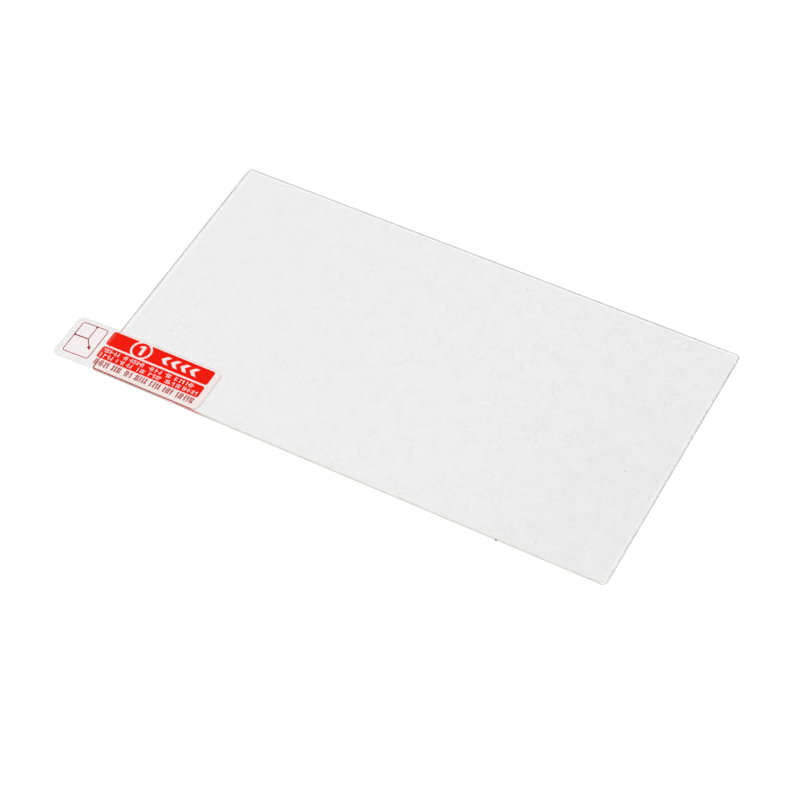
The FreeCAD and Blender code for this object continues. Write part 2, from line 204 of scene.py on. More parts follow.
def plate(half_x, half_y, radius, profile):
    """A flat plate whose edge follows profile, a list of insets at the ends and sides and
    of heights, from the lower face to the upper. The edge's faces have the second material."""
    bm = bmesh.new()
    rings = []
    for end_inset, side_inset, height in profile:
        x_reach = half_x - end_inset
        y_reach = half_y - side_inset
        inner = radius - max(end_inset, side_inset)
        outline = rounded_box(-x_reach, -y_reach, x_reach, y_reach, inner)
        rings.append([bm.verts.new((x, y, height)) for x, y in outline])
    for lower, upper in zip(rings, rings[1:]):
        for i in range(len(lower)):
            j = (i + 1) % len(lower)
            face = bm.faces.new((lower[i], lower[j], upper[j], upper[i]))
            face.material_index = 1
            face.smooth = True
    bm.faces.new(list(reversed(rings[0])))
    bm.faces.new(rings[-1])
    return bm


def askew(x, y):
    """Where a point of the tab's own plan lies."""
    cos, sin = math.cos(TAB_TURN), math.sin(TAB_TURN)
    across, along = x - TURN_X, y - TURN_Y
    turned_x = TURN_X + TAB_SHIFT + across * cos - along * sin
    turned_y = TURN_Y + across * sin + along * cos
    return turned_x, turned_y


def bent_height(x, rise):
    """Height of a point of the tab that lies rise above the film's underside."""
    if x >= 0:
        return SEAT + rise
    return SEAT - BEND_RADIUS + math.sqrt((BEND_RADIUS + rise) ** 2 - x * x)


def bent_skin(islands, low, high):
    """A skin from low to high over the tab's underside. Each island is an outline and the
    outlines of its holes. The faces of its cut edge have the second material, and those of
    its underside the third."""
    bm = bmesh.new()
    for island in islands:
        edges = []
        for outline in island:
            verts = [bm.verts.new((*askew(x, y), 0)) for x, y in outline]
            edges += [bm.edges.new((verts[i - 1], verts[i])) for i in range(len(verts))]
        bmesh.ops.triangle_fill(bm, edges=edges, use_beauty=True, normal=(0, 0, 1))
    cut = 0.0
    while cut > TAB_START + TAB_SHIFT:
        everything = bm.verts[:] + bm.edges[:] + bm.faces[:]
        bmesh.ops.bisect_plane(bm, geom=everything, plane_co=(cut, 0, 0), plane_no=(1, 0, 0))
        cut -= BEND_STEP
    under = bm.faces[:]
    made = bmesh.ops.extrude_face_region(bm, geom=under, use_keep_orig=True)["geom"]
    upper = {v for v in made if isinstance(v, bmesh.types.BMVert)}
    for face in bm.faces:
        raised = sum(v in upper for v in face.verts)
        if raised == 0:
            face.material_index = 2
        elif raised < len(face.verts):
            face.material_index = 1
    for v in bm.verts:
        x, y, _ = v.co
        height = bent_height(x, high if v in upper else low)
        v.co = (x - HALF_LENGTH, y - HALF_WIDTH, height)
    return bm


def make_glass():
    profile = []
    for i in range(ROUND_STEPS + 1):
        turn = math.pi / 2 * i / ROUND_STEPS
        reach = 1 - math.sin(turn)
        height = FRONT_ROUND_HEIGHT * (1 - math.cos(turn))
        profile.append((END_ROUND_WIDTH * reach, SIDE_ROUND_WIDTH * reach, height))
    for i in range(BEVEL_STEPS + 1):
        share = i / BEVEL_STEPS
        inset = BEVEL_WIDTH * share
        profile.append((inset, inset, GLASS_TOP - BEVEL_HEIGHT * (1 - share)))
    bm = plate(HALF_LENGTH, HALF_WIDTH, GLASS_CORNER, profile)
    return new_piece("glass_sheet", bm, "glass", "screen_glass")


def make_liner():
    low = liner_low.z / MM + AIR
    high = liner_high.z / MM - AIR
    edge = LINER_EDGE
    profile = [(edge, edge, low), (0, 0, low + edge), (0, 0, high - edge), (edge, edge, high)]
    half_x, half_y, _ = (liner_high - liner_low) / 2 / MM
    middle = (liner_high + liner_low) / 2 / MM
    bm = plate(half_x, half_y, LINER_CORNER, profile)
    bmesh.ops.translate(bm, verts=bm.verts, vec=(middle.x, middle.y, 0))
    return new_piece("liner_film", bm, "liner_film", "release_liner")


def make_tab():
    outline = rounded_box(TAB_START, TAB_NEAR, TAB_END, TAB_FAR, TAB_CORNER)
    bm = bent_skin([[outline]], AIR, TAB_THICKNESS - AIR)
    return new_piece("tab_film", bm, "tab_film", "pull_tab")


# Print
def title_islands():
    """The field on both sides of the ring, and the disc in the ring with its numeral."""
    half = TITLE_MIDDLE - TITLE_NEAR
    reach = math.degrees(math.asin(half / RING_RADIUS))
    left_side = arc(RING_X, TITLE_MIDDLE, RING_RADIUS, 180 + reach, 180 - reach, RING_STEPS)
    right_side = arc(RING_X, TITLE_MIDDLE, RING_RADIUS, reach, -reach, RING_STEPS)
    left = FIELD_START + FIELD_CORNER
    right = FIELD_END - FIELD_CORNER
    near = TITLE_NEAR + FIELD_CORNER
    far = TITLE_FAR - FIELD_CORNER
    left_part = quarter(left, near, FIELD_CORNER, 180) + left_side
    left_part += quarter(left, far, FIELD_CORNER, 90)
    right_part = quarter(right, near, FIELD_CORNER, 270)
    right_part += quarter(right, far, FIELD_CORNER, 0) + right_side
    inner = RING_RADIUS - RING_WIDTH
    circle = arc(RING_X, TITLE_MIDDLE, inner, 0, 360, 2 * RING_STEPS)[1:]
    disc = [(x, min(max(y, TITLE_NEAR), TITLE_FAR)) for x, y in circle]
    chevrons = [chevron(CHEVRON_END - i * CHEVRON_PITCH) for i in range(CHEVRONS)]
    return [[left_part], [right_part] + chevrons, [disc, numeral_one()]]


def chevron(tail):
    tip = tail - CHEVRON_WIDTH
    near = TITLE_NEAR + CHEVRON_MARGIN
    far = TITLE_FAR - CHEVRON_MARGIN
    return [
        (tip, TITLE_MIDDLE),
        (tail - CHEVRON_ARM, near),
        (tail, near),
        (tip + CHEVRON_ARM, TITLE_MIDDLE),
        (tail, far),
        (tail - CHEVRON_ARM, far),
    ]


def numeral_one():
    half = RING_RADIUS - RING_WIDTH - NUMERAL_MARGIN
    right = RING_X + (NUMERAL_STEM + NUMERAL_FLAG) / 2
    left = right - NUMERAL_STEM
    flag = left - NUMERAL_FLAG
    top = TITLE_MIDDLE + half
    foot = TITLE_MIDDLE - half
    flag_top = top - NUMERAL_FLAG_SLOPE * NUMERAL_FLAG
    return [
        (left, foot),
        (right, foot),
        (right, top),
        (left, top),
        (flag, flag_top),
        (flag, flag_top - NUMERAL_FLAG_DEPTH),
        (left, top - NUMERAL_FLAG_DEPTH),
    ]


def mark(draw, left, near, right, far, stroke):
    """Outlines of one plain mark: an upright bar at the left or right, and short level
    dashes beside it."""
    if draw.random() < LEFT_STEMS:
        stem = box(left, near, left + stroke, far)
        dash_left, dash_right = left + stroke + MARK_GAP, right
    else:
        stem = box(right - stroke, near, right, far)
        dash_left, dash_right = left, right - stroke - MARK_GAP
    outlines = [stem]
    for place in draw.choice(MARK_DASHES):
        low = near + place * (far - near - stroke)
        outlines.append(box(dash_left, low, dash_right, low + stroke))
    return outlines


def mark_row(groups, units, indent, near, far, seed, stroke):
    """Plain marks along a row, one to a unit, in groups with a unit between them."""
    draw = random.Random(seed)
    unit = (FIELD_END - FIELD_START - 2 * indent) / units
    reach = MARK_REACH * unit
    marks = []
    at = 0
    for count in groups:
        for i in range(count):
            middle = FIELD_START + indent + (at + i + 0.5) * unit
            marks += mark(draw, middle - reach, near, middle + reach, far, stroke)
        at += count + 1
    return marks


def note_island():
    island = [rounded_box(FIELD_START, NOTE_NEAR, FIELD_END, NOTE_FAR, FIELD_CORNER)]
    height = (NOTE_FAR - NOTE_NEAR - 2 * ROW_MARGIN - ROW_GAP) / 2
    far = NOTE_FAR - ROW_MARGIN
    for seed, groups in enumerate(NOTE_ROWS):
        near = far - height
        island += mark_row(groups, NOTE_UNITS, ROW_INDENT, near, far, seed, NOTE_STROKE)
        far = near - ROW_GAP
    return island


def footer_islands():
    seed = len(NOTE_ROWS)
    row = (FOOTER_ROW, FOOTER_UNITS, FOOTER_INDENT, FOOTER_NEAR, FOOTER_FAR)
    marks = mark_row(*row, seed, FOOTER_STROKE)
    return [[outline] for outline in marks]


def sign_island():
    """A sheet drawn in outline with a lifted corner, and an arrow out of that corner.
    Its ink has run together where the lines of the corner meet the outline."""
    line = SIGN_LINE
    half = line / 2
    level_half = SIGN_LEVEL_LINE / 2
    blot = SIGN_BLOT
    inner = SIGN_CORNER - line
    left, right = SIGN_START + line, SIGN_END - line
    near, far = SIGN_NEAR + line, SIGN_FAR - line
    corner_x, corner_y = SIGN_CORNER_X, SIGN_CORNER_Y
    cos, sin = math.cos(ARROW_ANGLE), math.sin(ARROW_ANGLE)

    def along(distance, side):
        x = corner_x + distance * cos + side * sin
        y = corner_y - distance * sin + side * cos
        return x, y

    outer = rounded_box(SIGN_START, SIGN_NEAR, SIGN_END, SIGN_FAR, SIGN_CORNER)
    level_far, level_near = corner_y + level_half, corner_y - level_half
    square = [(left + blot, level_far), (corner_x - half, level_far)]
    square += [(corner_x - half, far - blot), (corner_x - half - blot, far)]
    square += arc(left + inner, far - inner, inner, 90, 180, CORNER_STEPS)
    square.append((left, level_far + blot))
    shaft = ARROW_SHAFT / 2
    head = ARROW_HEAD_WIDTH / 2
    neck = ARROW_LENGTH - ARROW_HEAD_LENGTH
    rest = [(corner_x + half, far - blot), (corner_x + half + blot, far)]
    rest += arc(right - inner, far - inner, inner, 90, 0, CORNER_STEPS)
    rest += arc(right - inner, near + inner, inner, 0, -90, CORNER_STEPS)
    rest += arc(left + inner, near + inner, inner, -90, -180, CORNER_STEPS)
    rest += [(left, level_near - blot), (left + blot, level_near)]
    rest.append(along((level_half - shaft * cos) / sin, -shaft))
    rest += [along(neck, -shaft), along(neck, -head), along(ARROW_LENGTH, 0)]
    rest += [along(neck, head), along(neck, shaft)]
    rest.append(along((half - shaft * sin) / cos, shaft))
    return [outer, square, rest]


def make_ink(name, islands):
    bm = bent_skin(islands, TAB_THICKNESS, TAB_THICKNESS + INK_THICKNESS)
    return new_piece(name, bm, "red_ink", "tab_print")


# Dust as place and size: dark grains on the liner, one against the near edge, and pale lint
GRAINS = (
    (96.56, 23.4, 0.24),
    (89.52, 2.5, 0.21),
    (62.38, 53.46, 0.2),
)
EDGE_GRAIN = (83.15, -0.06, 0.42)
LINT = (
    (35.74, 14.21, 0.5),
    (37.36, 21.68, 0.46),
    (98.08, 41.18, 0.52),
    (96.23, 40.48, 0.48),
    (89.89, 22.69, 0.5),
    (91.9, 30.79, 0.46),
    (90.72, 2.41, 0.44),
    (96.04, 11.15, 0.44),
    (71.17, 49.13, 0.42),
    (87.34, 40.84, 0.44),
    (89.54, 19.77, 0.42),
    (79.4, 20.77, 0.4),
    (100.93, 38.79, 0.4),
)
GRAIN_DETAIL = 2
GRAIN_FLAT = 0.35
GRAIN_UNEVEN = 0.3
LINT_FLAT = 0.12
LONG_SHAPE = 0.75


def make_dust():
    draw = random.Random(len(LINT))
    bm = bmesh.new()

    def grain(x, y, z, size, flat):
        ball = bmesh.ops.create_icosphere(bm, subdivisions=GRAIN_DETAIL, radius=size / 2)
        turn = Matrix.Rotation(draw.uniform(0, math.pi), 3, "Z")
        for v in ball["verts"]:
            v.co *= 1 + GRAIN_UNEVEN * draw.uniform(-1, 1)
            v.co = turn @ Vector((v.co.x, v.co.y * LONG_SHAPE, v.co.z * flat))
        low = min(v.co.z for v in ball["verts"])
        for v in ball["verts"]:
            v.co += Vector((x - HALF_LENGTH, y - HALF_WIDTH, z - low))

    for x, y, size in LINT:
        grain(x, y, SEAT - AIR, size, LINT_FLAT)
    pale = set(bm.faces)
    for x, y, size in GRAINS:
        grain(x, y, SEAT - AIR, size, GRAIN_FLAT)
    x, y, size = EDGE_GRAIN
    grain(x, y, GLASS_TOP / 2, size, GRAIN_FLAT)
    for face in bm.faces:
        face.smooth = True
        face.material_index = 1 if face in pale else 0
    return new_piece("dust", bm, "glass")


glass = make_glass()
liner = make_liner()
tab = make_tab()
fields = make_ink("field_ink", title_islands() + [note_island()])
lines = make_ink("line_ink", footer_islands() + [sign_island()])
dust = make_dust()


def grey(level):
    return (level, level, level)


def greys(low, high):
    return grey(low), grey(high)


# Looks. Colours are linear. A pair of colours is what noise goes between, and a pair of
# places is where one look fades into the next, along the glass or across it. Most of a
# noise lies in NOISE_CORE.
WHITE = grey(1.0)
NOISE_DETAIL = 3.0
NOISE_ROUGHNESS = 0.55
NOISE_CORE = (0.4, 0.6)

# Clear glass, a little smeared
GLASS_IOR = 1.5
GLASS_NOISE = 9.0
GLASS_TINT = greys(0.992, 1.0)
SMEAR_NOISE = 14.0
SMEAR_CORE = (0.5, 0.8)
SMEAR_ROUGHNESS = 0.04

# Ground edge. The tone of each side is painted light and shade, not a difference in the
# glass: the far side darkest, its bevel and the left end lighter, the far corner lighter
# again, the right end near white, and the near side light and greenish, its green being
# the glass's own edge colour. Red, rose, pink and brown beside the tab on the near side,
# and red at the left end beside the tab, are painted red light from the print.
EDGE_ROUGHNESS = 0.35
EDGE_CLEAR = 0.8
RIGHT_CLEAR = 0.5
EDGE_NOISE = 1.2
PINK_NOISE = 0.8
FAR_SIDE = greys(0.55, 0.65)
FAR_BEVEL = greys(0.74, 0.84)
FAR_CORNER = greys(0.8, 0.88)
RIGHT_END = greys(0.95, 1.0)
LEFT_END = greys(0.74, 0.82)
LEFT_PAINTED_RED_LIGHT = ((0.2, 0.01, 0.007), (0.3, 0.02, 0.014))
NEAR_PAINTED_PINK_LIGHT = ((0.96, 0.8, 0.76), (1.0, 0.87, 0.83))
NEAR_PAINTED_ROSE_LIGHT = ((0.78, 0.12, 0.1), (0.88, 0.17, 0.14))
NEAR_PAINTED_BROWN_LIGHT = ((0.62, 0.5, 0.32), (0.72, 0.59, 0.42))
NEAR_GREEN = ((0.9, 0.905, 0.85), (0.96, 0.965, 0.91))
BEVEL_FADE = 0.3
TO_FAR_CORNER = (LENGTH - 7, LENGTH - 1)
TO_RIGHT_END = (LENGTH - 0.8, LENGTH - 0.4)
PINK_TO_ROSE = (TAB_END - 6.5, TAB_END - 1.5)
ROSE_TO_BROWN = (TAB_END, TAB_END + 1)
BROWN_TO_GREEN = (TAB_END + 0.5, TAB_END + 6)
FROM_NEAR_SIDE = (0.3, 0.6)
FROM_LEFT_END = (0.4, 0.8)
FROM_LEFT_PAINTED_RED_LIGHT = (1.8, 3.2)

# Liner. Its fine mottle and clouds are the film's own tone. It is paler towards the left
# end and darker towards the right end, most of all on the near half, which is painted
# light and shade, and the paler rims at both ends are painted light.
LINER_NOISE = 0.6
LINER_TINT = greys(0.93, 0.985)
CLOUD_NOISE = 3.5
CLOUD_SHARE = (0.18, 0.66)
CLOUD_TINT = grey(0.99)
LEFT_PAINTED_LIGHT = 0.45
PAINTED_SHADE_SHARE = 0.22
PAINTED_SHADE_FAR_SHARE = 0.5
PAINTED_SHADE_TINT = grey(0.87)
TO_PAINTED_SHADE_END = (66, 90)
TO_PAINTED_SHADE_FAR = (25, 50)
FROM_LEFT_PAINTED_RIM = (1.0, 1.4)
TO_RIGHT_PAINTED_RIM = (LENGTH - 0.95, LENGTH - 0.6)

# Film of the tab
FILM_IOR = 1.2
FILM_CLEAR = 0.72
FILM_NOISE = 1.5
BY_SIGN = ((0.847, 0.765, 0.767), (0.867, 0.785, 0.787))
PAST_SIGN = ((0.785, 0.775, 0.765), (0.805, 0.795, 0.785))
ON_GLASS = ((1.0, 0.84, 0.81), (1.0, 0.87, 0.84))
# Painted shade: a greyer rim inside the free end's outline and at the right end of the stuck
# part
FREE_RIM_SHADE = (0.735, 0.733, 0.725)
STUCK_RIM_SHADE = (0.83, 0.7, 0.69)
SIGN_FADE = 0.6
RIM_START = 0.4
RIM_FULL = 0.15
TO_END_RIM = (TAB_END - 1.6, TAB_END - 0.6)
OVER_GLASS_EDGE = (-0.1, 0.1)
LINE_NOISE = 0.8
# Painted shade and painted red light: a dark red line over the glass's near edge beneath the
# film
PAINTED_EDGE_LINE_RED = ((0.36, 0.02, 0.016), (0.48, 0.032, 0.026))
TO_LINE = (-0.06, 0.06)
FROM_LINE = (0.27, 0.4)
TO_LINE_START = (0.2, 0.7)
FROM_LINE_END = (TAB_END - 1.4, TAB_END - 0.4)
UNDERSIDE_TINT = greys(0.98, 1.0)

# Cut edges of the films
CUT_IOR = 1.5
CUT_ROUGHNESS = 0.45
CUT_NOISE = 0.4
LINER_CUT_TINT = greys(0.88, 0.98)
LINER_CUT_CLEAR = 0.9
TAB_CUT_TINT = greys(0.52, 0.64)
TAB_CUT_CLEAR = 0.4

# Ink
INK_ROUGHNESS = 0.55
INK_GLOSS = 0.06
INK_NOISE = 0.7
INK_ON_GLASS = ((0.84, 0.006, 0.0005), (0.9, 0.011, 0.002))
INK_PAST_GLASS = ((0.8, 0.045, 0.03), (0.86, 0.06, 0.042))
INK_GRAIN = 0.12
INK_BUMP_HEIGHT = 0.004
INK_BUMP_STRENGTH = 0.25
SIGN_INK = ((0.28, 0.018, 0.018), (0.45, 0.035, 0.035))
ROW_NOISE = 0.5
ROW_INK = ((0.34, 0.008, 0.006), (0.5, 0.014, 0.01))
JUNCTION_INK = (0.2, 0.008, 0.01)
JUNCTIONS = ((SIGN_START, SIGN_CORNER_Y, 2.4), (SIGN_CORNER_X, SIGN_FAR, 0.4))
JUNCTION_CORE = 1 / 3

# Dust
DUST_ROUGHNESS = 0.9
DUST_GLOSS = 0.1
DUST_NOISE = 0.1
DARK_DUST = greys(0.03, 0.09)
PALE_LINT = greys(0.88, 0.96)


# Materials
class Shader:
    """A node material with one main shader, and short ways to add nodes to it."""

    def __init__(self, name):
        self.material = bpy.data.materials.new(name)
        self.material.use_nodes = True
        self.tree = self.material.node_tree
        self.main = self.tree.nodes["Principled BSDF"]
        self.place = self.add("ShaderNodeTexCoord").outputs["Object"]

    def add(self, kind, **settings):
        node = self.tree.nodes.new(kind)
        for key, value in settings.items():
            setattr(node, key, value)
        return node

    def link(self, source, target):
        self.tree.links.new(source, target)

    def set(self, **values):
        for key, value in values.items():
            self.main.inputs[key.replace("_", " ")].default_value = value

    def feed(self, **sources):
        for key, source in sources.items():
            self.link(source, self.main.inputs[key.replace("_", " ")])

    def noise(self, size):
        """Noise whose marks are about size millimetres across."""
        node = self.add("ShaderNodeTexNoise")
        node.inputs["Scale"].default_value = 1 / (size * MM)
        node.inputs["Detail"].default_value = NOISE_DETAIL
        node.inputs["Roughness"].default_value = NOISE_ROUGHNESS
        self.link(self.place, node.inputs["Vector"])
        return node.outputs["Fac"]

    def ramp(self, source, low, high, start, end):
        """Maps source from low..high to start..end, clamped."""
        node = self.add("ShaderNodeMapRange")
        limits = {"From Min": low, "From Max": high, "To Min": start, "To Max": end}
        for key, value in limits.items():
            node.inputs[key].default_value = value
        self.link(source, node.inputs["Value"])
        return node.outputs["Result"]

    def blend(self, share, first, second):
        """A colour between two colours."""
        node = self.add("ShaderNodeMix", data_type="RGBA")
        self.link(share, node.inputs["Factor"])
        for socket, colour in (("A", first), ("B", second)):
            target = [s for s in node.inputs if s.name == socket and s.type == "RGBA"][0]
            if isinstance(colour, bpy.types.NodeSocket):
                self.link(colour, target)
            else:
                target.default_value = (*colour, 1)
        return [s for s in node.outputs if s.type == "RGBA"][0]

    def mottle(self, size, colours):
        """Noise of a size between two colours."""
        return self.blend(self.noise(size), *colours)

    def both(self, first, second):
        node = self.add("ShaderNodeMath", operation="MULTIPLY")
        self.link(first, node.inputs[0])
        self.link(second, node.inputs[1])
        return node.outputs[0]

    def reach(self, left, near, right, far, radius):
        """Nought well inside a rounded box of the tab's own plan, radius on its outline,
        and more outside."""
        pivot = (TURN_X + TAB_SHIFT - HALF_LENGTH, TURN_Y - HALF_WIDTH, 0)
        straighten = self.add("ShaderNodeVectorRotate", rotation_type="Z_AXIS", invert=True)
        self.link(self.place, straighten.inputs["Vector"])
        straighten.inputs["Center"].default_value = Vector(pivot) * MM
        straighten.inputs["Angle"].default_value = TAB_TURN
        vector = straighten.outputs["Vector"]
        middle_x = (left + right) / 2 + TAB_SHIFT - HALF_LENGTH
        middle_y = (near + far) / 2 - HALF_WIDTH
        straight = ((right - left) / 2 - radius, (far - near) / 2 - radius, HALF_LENGTH)
        steps = (
            ("SUBTRACT", (middle_x, middle_y, 0)),
            ("ABSOLUTE", None),
            ("SUBTRACT", straight),
            ("MAXIMUM", (0, 0, 0)),
        )
        for operation, other in steps:
            node = self.add("ShaderNodeVectorMath", operation=operation)
            self.link(vector, node.inputs[0])
            if other:
                node.inputs[1].default_value = Vector(other) * MM
            vector = node.outputs["Vector"]
        node = self.add("ShaderNodeVectorMath", operation="LENGTH")
        self.link(vector, node.inputs[0])
        return node.outputs["Value"]

    def away(self, x, y, z):
        """Distance from a point."""
        node = self.add("ShaderNodeVectorMath", operation="DISTANCE")
        self.link(self.place, node.inputs[0])
        node.inputs[1].default_value = Vector((x - HALF_LENGTH, y - HALF_WIDTH, z)) * MM
        return node.outputs["Value"]

    def bump(self, height, distance, strength):
        node = self.add("ShaderNodeBump")
        node.inputs["Distance"].default_value = distance * MM
        node.inputs["Strength"].default_value = strength
        self.link(height, node.inputs["Height"])
        self.feed(Normal=node.outputs["Normal"])

    def along(self, axis):
        node = self.add("ShaderNodeSeparateXYZ")
        self.link(self.place, node.inputs["Vector"])
        return node.outputs[axis]

    def between(self, axis, places, start, end):
        """From start to end between two places along X or Y, from the glass's corner."""
        half = HALF_LENGTH if axis == "X" else HALF_WIDTH
        low, high = [(place - half) * MM for place in places]
        return self.ramp(self.along(axis), low, high, start, end)


def glass_material():
    shader = Shader("clear_glass")
    shader.set(Transmission_Weight=1.0, IOR=GLASS_IOR)
    smears = shader.ramp(shader.noise(SMEAR_NOISE), *SMEAR_CORE, 0.0, SMEAR_ROUGHNESS)
    shader.feed(Base_Color=shader.mottle(GLASS_NOISE, GLASS_TINT), Roughness=smears)
    return shader.material


def ground_edge_material():
    """Frosted glass with a tone for each side, which is painted light and shade. The near one
    is greenish, but painted red to brown light from the print beside the tab, and so is the
    corner there."""
    shader = Shader("ground_glass_edge")
    shader.set(IOR=GLASS_IOR, Roughness=EDGE_ROUGHNESS)

    def tone(colours):
        return shader.mottle(EDGE_NOISE, colours)

    foot = (GLASS_TOP - BEVEL_HEIGHT) * MM
    bevel = shader.ramp(shader.along("Z"), foot, foot + BEVEL_FADE * BEVEL_HEIGHT * MM, 0, 1)
    # Painted light and shade: each side's tone is set for how that side is lit and seen
    side = shader.blend(bevel, tone(FAR_SIDE), tone(FAR_BEVEL))
    at_corner = shader.between("X", TO_FAR_CORNER, 0, 1)
    side = shader.blend(at_corner, side, tone(FAR_CORNER))
    at_right = shader.between("X", TO_RIGHT_END, 0, 1)
    side = shader.blend(at_right, side, tone(RIGHT_END))

    # Painted red light from the print beside the tab: pink, then rose, then brown, fading into
    # the near side's green
    greener = shader.between("X", BROWN_TO_GREEN, 0, 1)
    near = shader.blend(greener, tone(NEAR_PAINTED_BROWN_LIGHT), tone(NEAR_GREEN))
    browner = shader.between("X", ROSE_TO_BROWN, 0, 1)
    near = shader.blend(browner, shader.mottle(PINK_NOISE, NEAR_PAINTED_ROSE_LIGHT), near)
    redder = shader.between("X", PINK_TO_ROSE, 0, 1)
    near = shader.blend(redder, shader.mottle(PINK_NOISE, NEAR_PAINTED_PINK_LIGHT), near)
    side = shader.blend(shader.between("Y", FROM_NEAR_SIDE, 1, 0), side, near)

    # Painted red light from the print at the left end beside the tab, greying away from the
    # near corner
    greyer = shader.between("Y", FROM_LEFT_PAINTED_RED_LIGHT, 0, 1)
    left = shader.blend(greyer, shader.mottle(PINK_NOISE, LEFT_PAINTED_RED_LIGHT), tone(LEFT_END))
    side = shader.blend(shader.between("X", FROM_LEFT_END, 1, 0), side, left)
    clear = shader.ramp(at_right, 0, 1, EDGE_CLEAR, RIGHT_CLEAR)
    shader.feed(Base_Color=side, Transmission_Weight=clear)
    return shader.material


def liner_material():
    """Clear film with faint mottling, with painted shade that makes it a little darker towards
    its right end, and painted light that makes it paler towards its left end and at rims at
    both ends."""
    shader = Shader("clear_liner")
    shader.set(Transmission_Weight=1.0, IOR=GLASS_IOR, Roughness=0.0)
    fine = shader.ramp(shader.noise(LINER_NOISE), *NOISE_CORE, 0, 1)
    film = shader.blend(fine, *LINER_TINT)
    clouds = shader.ramp(shader.noise(CLOUD_NOISE), *NOISE_CORE, *CLOUD_SHARE)
    film = shader.blend(clouds, film, CLOUD_TINT)
    # Painted light towards the left end, and below it painted shade towards the right end
    film = shader.blend(shader.between("X", (0, LENGTH), LEFT_PAINTED_LIGHT, 0.0), film, WHITE)
    painted_shade_along = shader.between("X", TO_PAINTED_SHADE_END, 0, PAINTED_SHADE_SHARE)
    painted_shade_across = shader.between("Y", TO_PAINTED_SHADE_FAR, 1, PAINTED_SHADE_FAR_SHARE)
    film = shader.blend(shader.both(painted_shade_along, painted_shade_across), film, PAINTED_SHADE_TINT)
    # Painted light: paler rims at both ends
    film = shader.blend(shader.between("X", FROM_LEFT_PAINTED_RIM, 1, 0), film, WHITE)
    film = shader.blend(shader.between("X", TO_RIGHT_PAINTED_RIM, 0, 1), film, WHITE)
    shader.feed(Base_Color=film)
    return shader.material


def tab_material():
    """Clear film, a little milky, with a greyer rim of painted shade, and along its near edge
    on the glass a red line of painted shade: the glass's edge beneath, reddened with painted
    light from the print."""
    shader = Shader("clear_tab")
    shader.set(Transmission_Weight=FILM_CLEAR, IOR=FILM_IOR, Roughness=0.0)
    sign = shader.reach(SIGN_START, SIGN_NEAR, SIGN_END, SIGN_FAR, SIGN_CORNER)
    leaving = shader.ramp(sign, SIGN_CORNER * MM, (SIGN_CORNER + SIGN_FADE) * MM, 0, 1)
    by_sign = shader.mottle(FILM_NOISE, BY_SIGN)
    free = shader.blend(leaving, by_sign, shader.mottle(FILM_NOISE, PAST_SIGN))
    # Painted shade: a greyer rim inside the tab's outline
    outline = shader.reach(TAB_START, TAB_NEAR, TAB_END, TAB_FAR, TAB_CORNER)
    rim_low, rim_high = (TAB_CORNER - RIM_START) * MM, (TAB_CORNER - RIM_FULL) * MM
    rim = shader.ramp(outline, rim_low, rim_high, 0, 1)
    free = shader.blend(rim, free, FREE_RIM_SHADE)
    end_rim = shader.both(rim, shader.between("X", TO_END_RIM, 0, 1))
    stuck = shader.blend(end_rim, shader.mottle(FILM_NOISE, ON_GLASS), STUCK_RIM_SHADE)
    film = shader.blend(shader.between("X", OVER_GLASS_EDGE, 0, 1), free, stuck)
    # Painted shade and red light along the glass's near edge under the film
    across = shader.both(
        shader.between("Y", TO_LINE, 0, 1),
        shader.between("Y", FROM_LINE, 1, 0),
    )
    lengthwise = shader.both(
        shader.between("X", TO_LINE_START, 0, 1),
        shader.between("X", FROM_LINE_END, 1, 0),
    )
    line = shader.mottle(LINE_NOISE, PAINTED_EDGE_LINE_RED)
    shader.feed(Base_Color=shader.blend(shader.both(across, lengthwise), film, line))
    return shader.material


def tab_underside_material():
    shader = Shader("clear_tab_underside")
    shader.set(Transmission_Weight=1.0, IOR=FILM_IOR, Roughness=0.0)
    shader.feed(Base_Color=shader.mottle(FILM_NOISE, UNDERSIDE_TINT))
    return shader.material


def cut_film_material(name, tint, clear):
    """The cut edge of a film, more or less clear."""
    shader = Shader(name)
    shader.set(Transmission_Weight=clear, IOR=CUT_IOR, Roughness=CUT_ROUGHNESS)
    shader.feed(Base_Color=shader.mottle(CUT_NOISE, tint))
    return shader.material


def ink_material():
    """Red ink, thinner looking where light comes up through the free end."""
    shader = Shader("red_ink")
    shader.set(Roughness=INK_ROUGHNESS, Specular_IOR_Level=INK_GLOSS)
    over_glass = shader.mottle(INK_NOISE, INK_ON_GLASS)
    past_glass = shader.mottle(INK_NOISE, INK_PAST_GLASS)
    on_glass = shader.between("X", OVER_GLASS_EDGE, 0, 1)
    shader.feed(Base_Color=shader.blend(on_glass, past_glass, over_glass))
    shader.bump(shader.noise(INK_GRAIN), INK_BUMP_HEIGHT, INK_BUMP_STRENGTH)
    return shader.material


def line_ink_material():
    """The same ink in thin lines, which print darker, most of all where lines of the sign
    meet."""
    shader = Shader("dark_red_ink")
    shader.set(Roughness=INK_ROUGHNESS, Specular_IOR_Level=INK_GLOSS)
    sign = shader.mottle(INK_NOISE, SIGN_INK)
    for x, y, reach in JUNCTIONS:
        x, y = askew(x, y)
        away = shader.away(x, y, bent_height(x, TAB_THICKNESS))
        thick = shader.ramp(away, JUNCTION_CORE * reach * MM, reach * MM, 1, 0)
        sign = shader.blend(thick, sign, JUNCTION_INK)
    in_rows = shader.between("X", (SIGN_END, FIELD_START), 0, 1)
    shader.feed(Base_Color=shader.blend(in_rows, sign, shader.mottle(ROW_NOISE, ROW_INK)))
    return shader.material


def dust_material(name, tint):
    shader = Shader(name)
    shader.set(Roughness=DUST_ROUGHNESS, Specular_IOR_Level=DUST_GLOSS)
    shader.feed(Base_Color=shader.mottle(DUST_NOISE, tint))
    return shader.material


def dress(piece, *materials):
    for material in materials:
        piece.data.materials.append(material)


